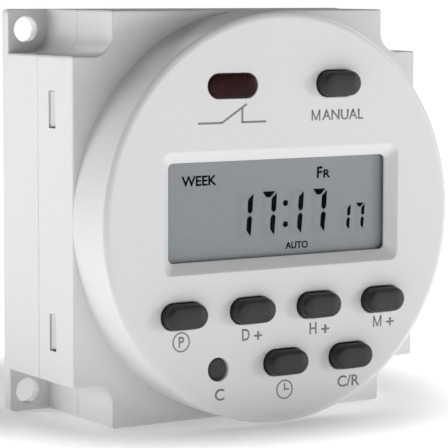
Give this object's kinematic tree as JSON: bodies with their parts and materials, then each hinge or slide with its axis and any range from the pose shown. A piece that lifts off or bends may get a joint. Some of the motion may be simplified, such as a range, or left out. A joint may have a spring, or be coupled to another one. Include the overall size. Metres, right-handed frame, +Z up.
{
  "type": "din rail timer",
  "caption": "Weekly digital time switch: a square case with a round dial, display window, rubber keys, screw ears, blade terminals and a sprung rail clip.",
  "frame": {"origin": "centre of the four ear holes, on the case's rear plane", "axes": "+X to the viewer's right, the dial faces -Y, +Y is the back, towards the panel or rail, and +Z is up"},
  "size_m": [0.06, 0.0391, 0.06],
  "materials": {
    "case_plastic": "white moulded plastic, fine satin",
    "window_clear": "clear moulded window, polished",
    "display_glass": "grey display glass behind a polariser film",
    "frame_plastic": "off-white moulded plastic",
    "contact_rubber": "layered contact rubber",
    "lens_red": "dark red clear plastic, polished",
    "led_red": "red clear epoxy",
    "mat_rubber": "silicone rubber",
    "key_rubber": "dark grey silicone rubber, dull",
    "board_laminate": "green solder mask on glass laminate",
    "screw_steel": "zinc plated",
    "chip_epoxy": "black moulding compound",
    "cell_steel": "nickel plated",
    "ribbon_sleeve": "grey flat cable",
    "terminal_brass": "tinned brass",
    "capacitor_film": "yellow box",
    "capacitor_sleeve": "dark blue sleeve",
    "varistor_coat": "blue epoxy coat",
    "resistor_coat": "green grey cement coat",
    "relay_black": "black moulded plastic",
    "relay_shell": "blue moulded cover",
    "coil_wire": "enamelled copper wire",
    "relay_iron": "nickel plated iron",
    "clip_plastic": "light grey moulded plastic",
    "latch_plastic": "dark grey moulded plastic",
    "spring_steel": "bright spring wire"
  },
  "bodies": {
    "case": {"front_housing": "case_plastic", "rear_base": "case_plastic", "display_window": "window_clear", "display_panel": "display_glass", "display_frame": "frame_plastic", "display_contact_strips": "contact_rubber", "indicator_lens": "lens_red", "indicator_led": "led_red", "key_mat": "mat_rubber", "manual_key_mat": "mat_rubber", "display_board": "board_laminate", "display_board_screws": "screw_steel", "controller_chip": "chip_epoxy", "clock_crystal": "screw_steel", "backup_cell": "cell_steel", "cell_tabs": "cell_steel", "ribbon_cable": "ribbon_sleeve", "power_board": "board_laminate", "power_board_screws": "screw_steel", "terminal_blades": "terminal_brass", "film_capacitor": "capacitor_film", "storage_capacitors": "capacitor_sleeve", "bridge_rectifier": "chip_epoxy", "varistor": "varistor_coat", "fuse_resistor": "resistor_coat", "relay_base": "relay_black", "relay_cover": "relay_shell", "relay_coil": "coil_wire", "relay_core": "relay_iron", "relay_fixed_contacts": "terminal_brass", "rail_clip": "clip_plastic", "latch_springs": "spring_steel", "clip_screws": "screw_steel"},
    "manual_key": {"manual_key": "key_rubber"},
    "program_key": {"program_key": "key_rubber"},
    "day_key": {"day_key": "key_rubber"},
    "hour_key": {"hour_key": "key_rubber"},
    "minute_key": {"minute_key": "key_rubber"},
    "clock_key": {"clock_key": "key_rubber"},
    "recall_key": {"recall_key": "key_rubber"},
    "reset_key": {"reset_key": "key_rubber"},
    "armature": {"relay_armature": "relay_iron"},
    "rail_latch": {"rail_latch": "latch_plastic"}
  },
  "joints": [
    {"name": "manual_press", "type": "slide", "parent": "case", "child": "manual_key", "axis": [0, 1, 0], "range_m": [0, 0.0008], "stiffness_N_per_m": 600, "springref_m": -0.0006},
    {"name": "program_press", "type": "slide", "parent": "case", "child": "program_key", "axis": [0, 1, 0], "range_m": [0, 0.0008], "stiffness_N_per_m": 600, "springref_m": -0.0006},
    {"name": "day_press", "type": "slide", "parent": "case", "child": "day_key", "axis": [0, 1, 0], "range_m": [0, 0.0008], "stiffness_N_per_m": 600, "springref_m": -0.0006},
    {"name": "hour_press", "type": "slide", "parent": "case", "child": "hour_key", "axis": [0, 1, 0], "range_m": [0, 0.0008], "stiffness_N_per_m": 600, "springref_m": -0.0006},
    {"name": "minute_press", "type": "slide", "parent": "case", "child": "minute_key", "axis": [0, 1, 0], "range_m": [0, 0.0008], "stiffness_N_per_m": 600, "springref_m": -0.0006},
    {"name": "clock_press", "type": "slide", "parent": "case", "child": "clock_key", "axis": [0, 1, 0], "range_m": [0, 0.0008], "stiffness_N_per_m": 600, "springref_m": -0.0006},
    {"name": "recall_press", "type": "slide", "parent": "case", "child": "recall_key", "axis": [0, 1, 0], "range_m": [0, 0.0008], "stiffness_N_per_m": 600, "springref_m": -0.0006},
    {"name": "reset_press", "type": "slide", "parent": "case", "child": "reset_key", "axis": [0, 1, 0], "range_m": [0, 0.0008], "stiffness_N_per_m": 600, "springref_m": -0.0006},
    {"name": "armature_pull", "type": "hinge", "parent": "case", "child": "armature", "pos_m": [0.009, -0.01715, 0], "axis": [-1, 0, 0], "range_deg": [0, 3], "stiffness_Nm_per_rad": 0.02, "springref_deg": -1.72},
    {"name": "latch_release", "type": "slide", "parent": "case", "child": "rail_latch", "axis": [0, 0, -1], "range_m": [0, 0.0032], "stiffness_N_per_m": 600, "springref_m": -0.004, "deforming": ["latch_springs"]}
  ]
}
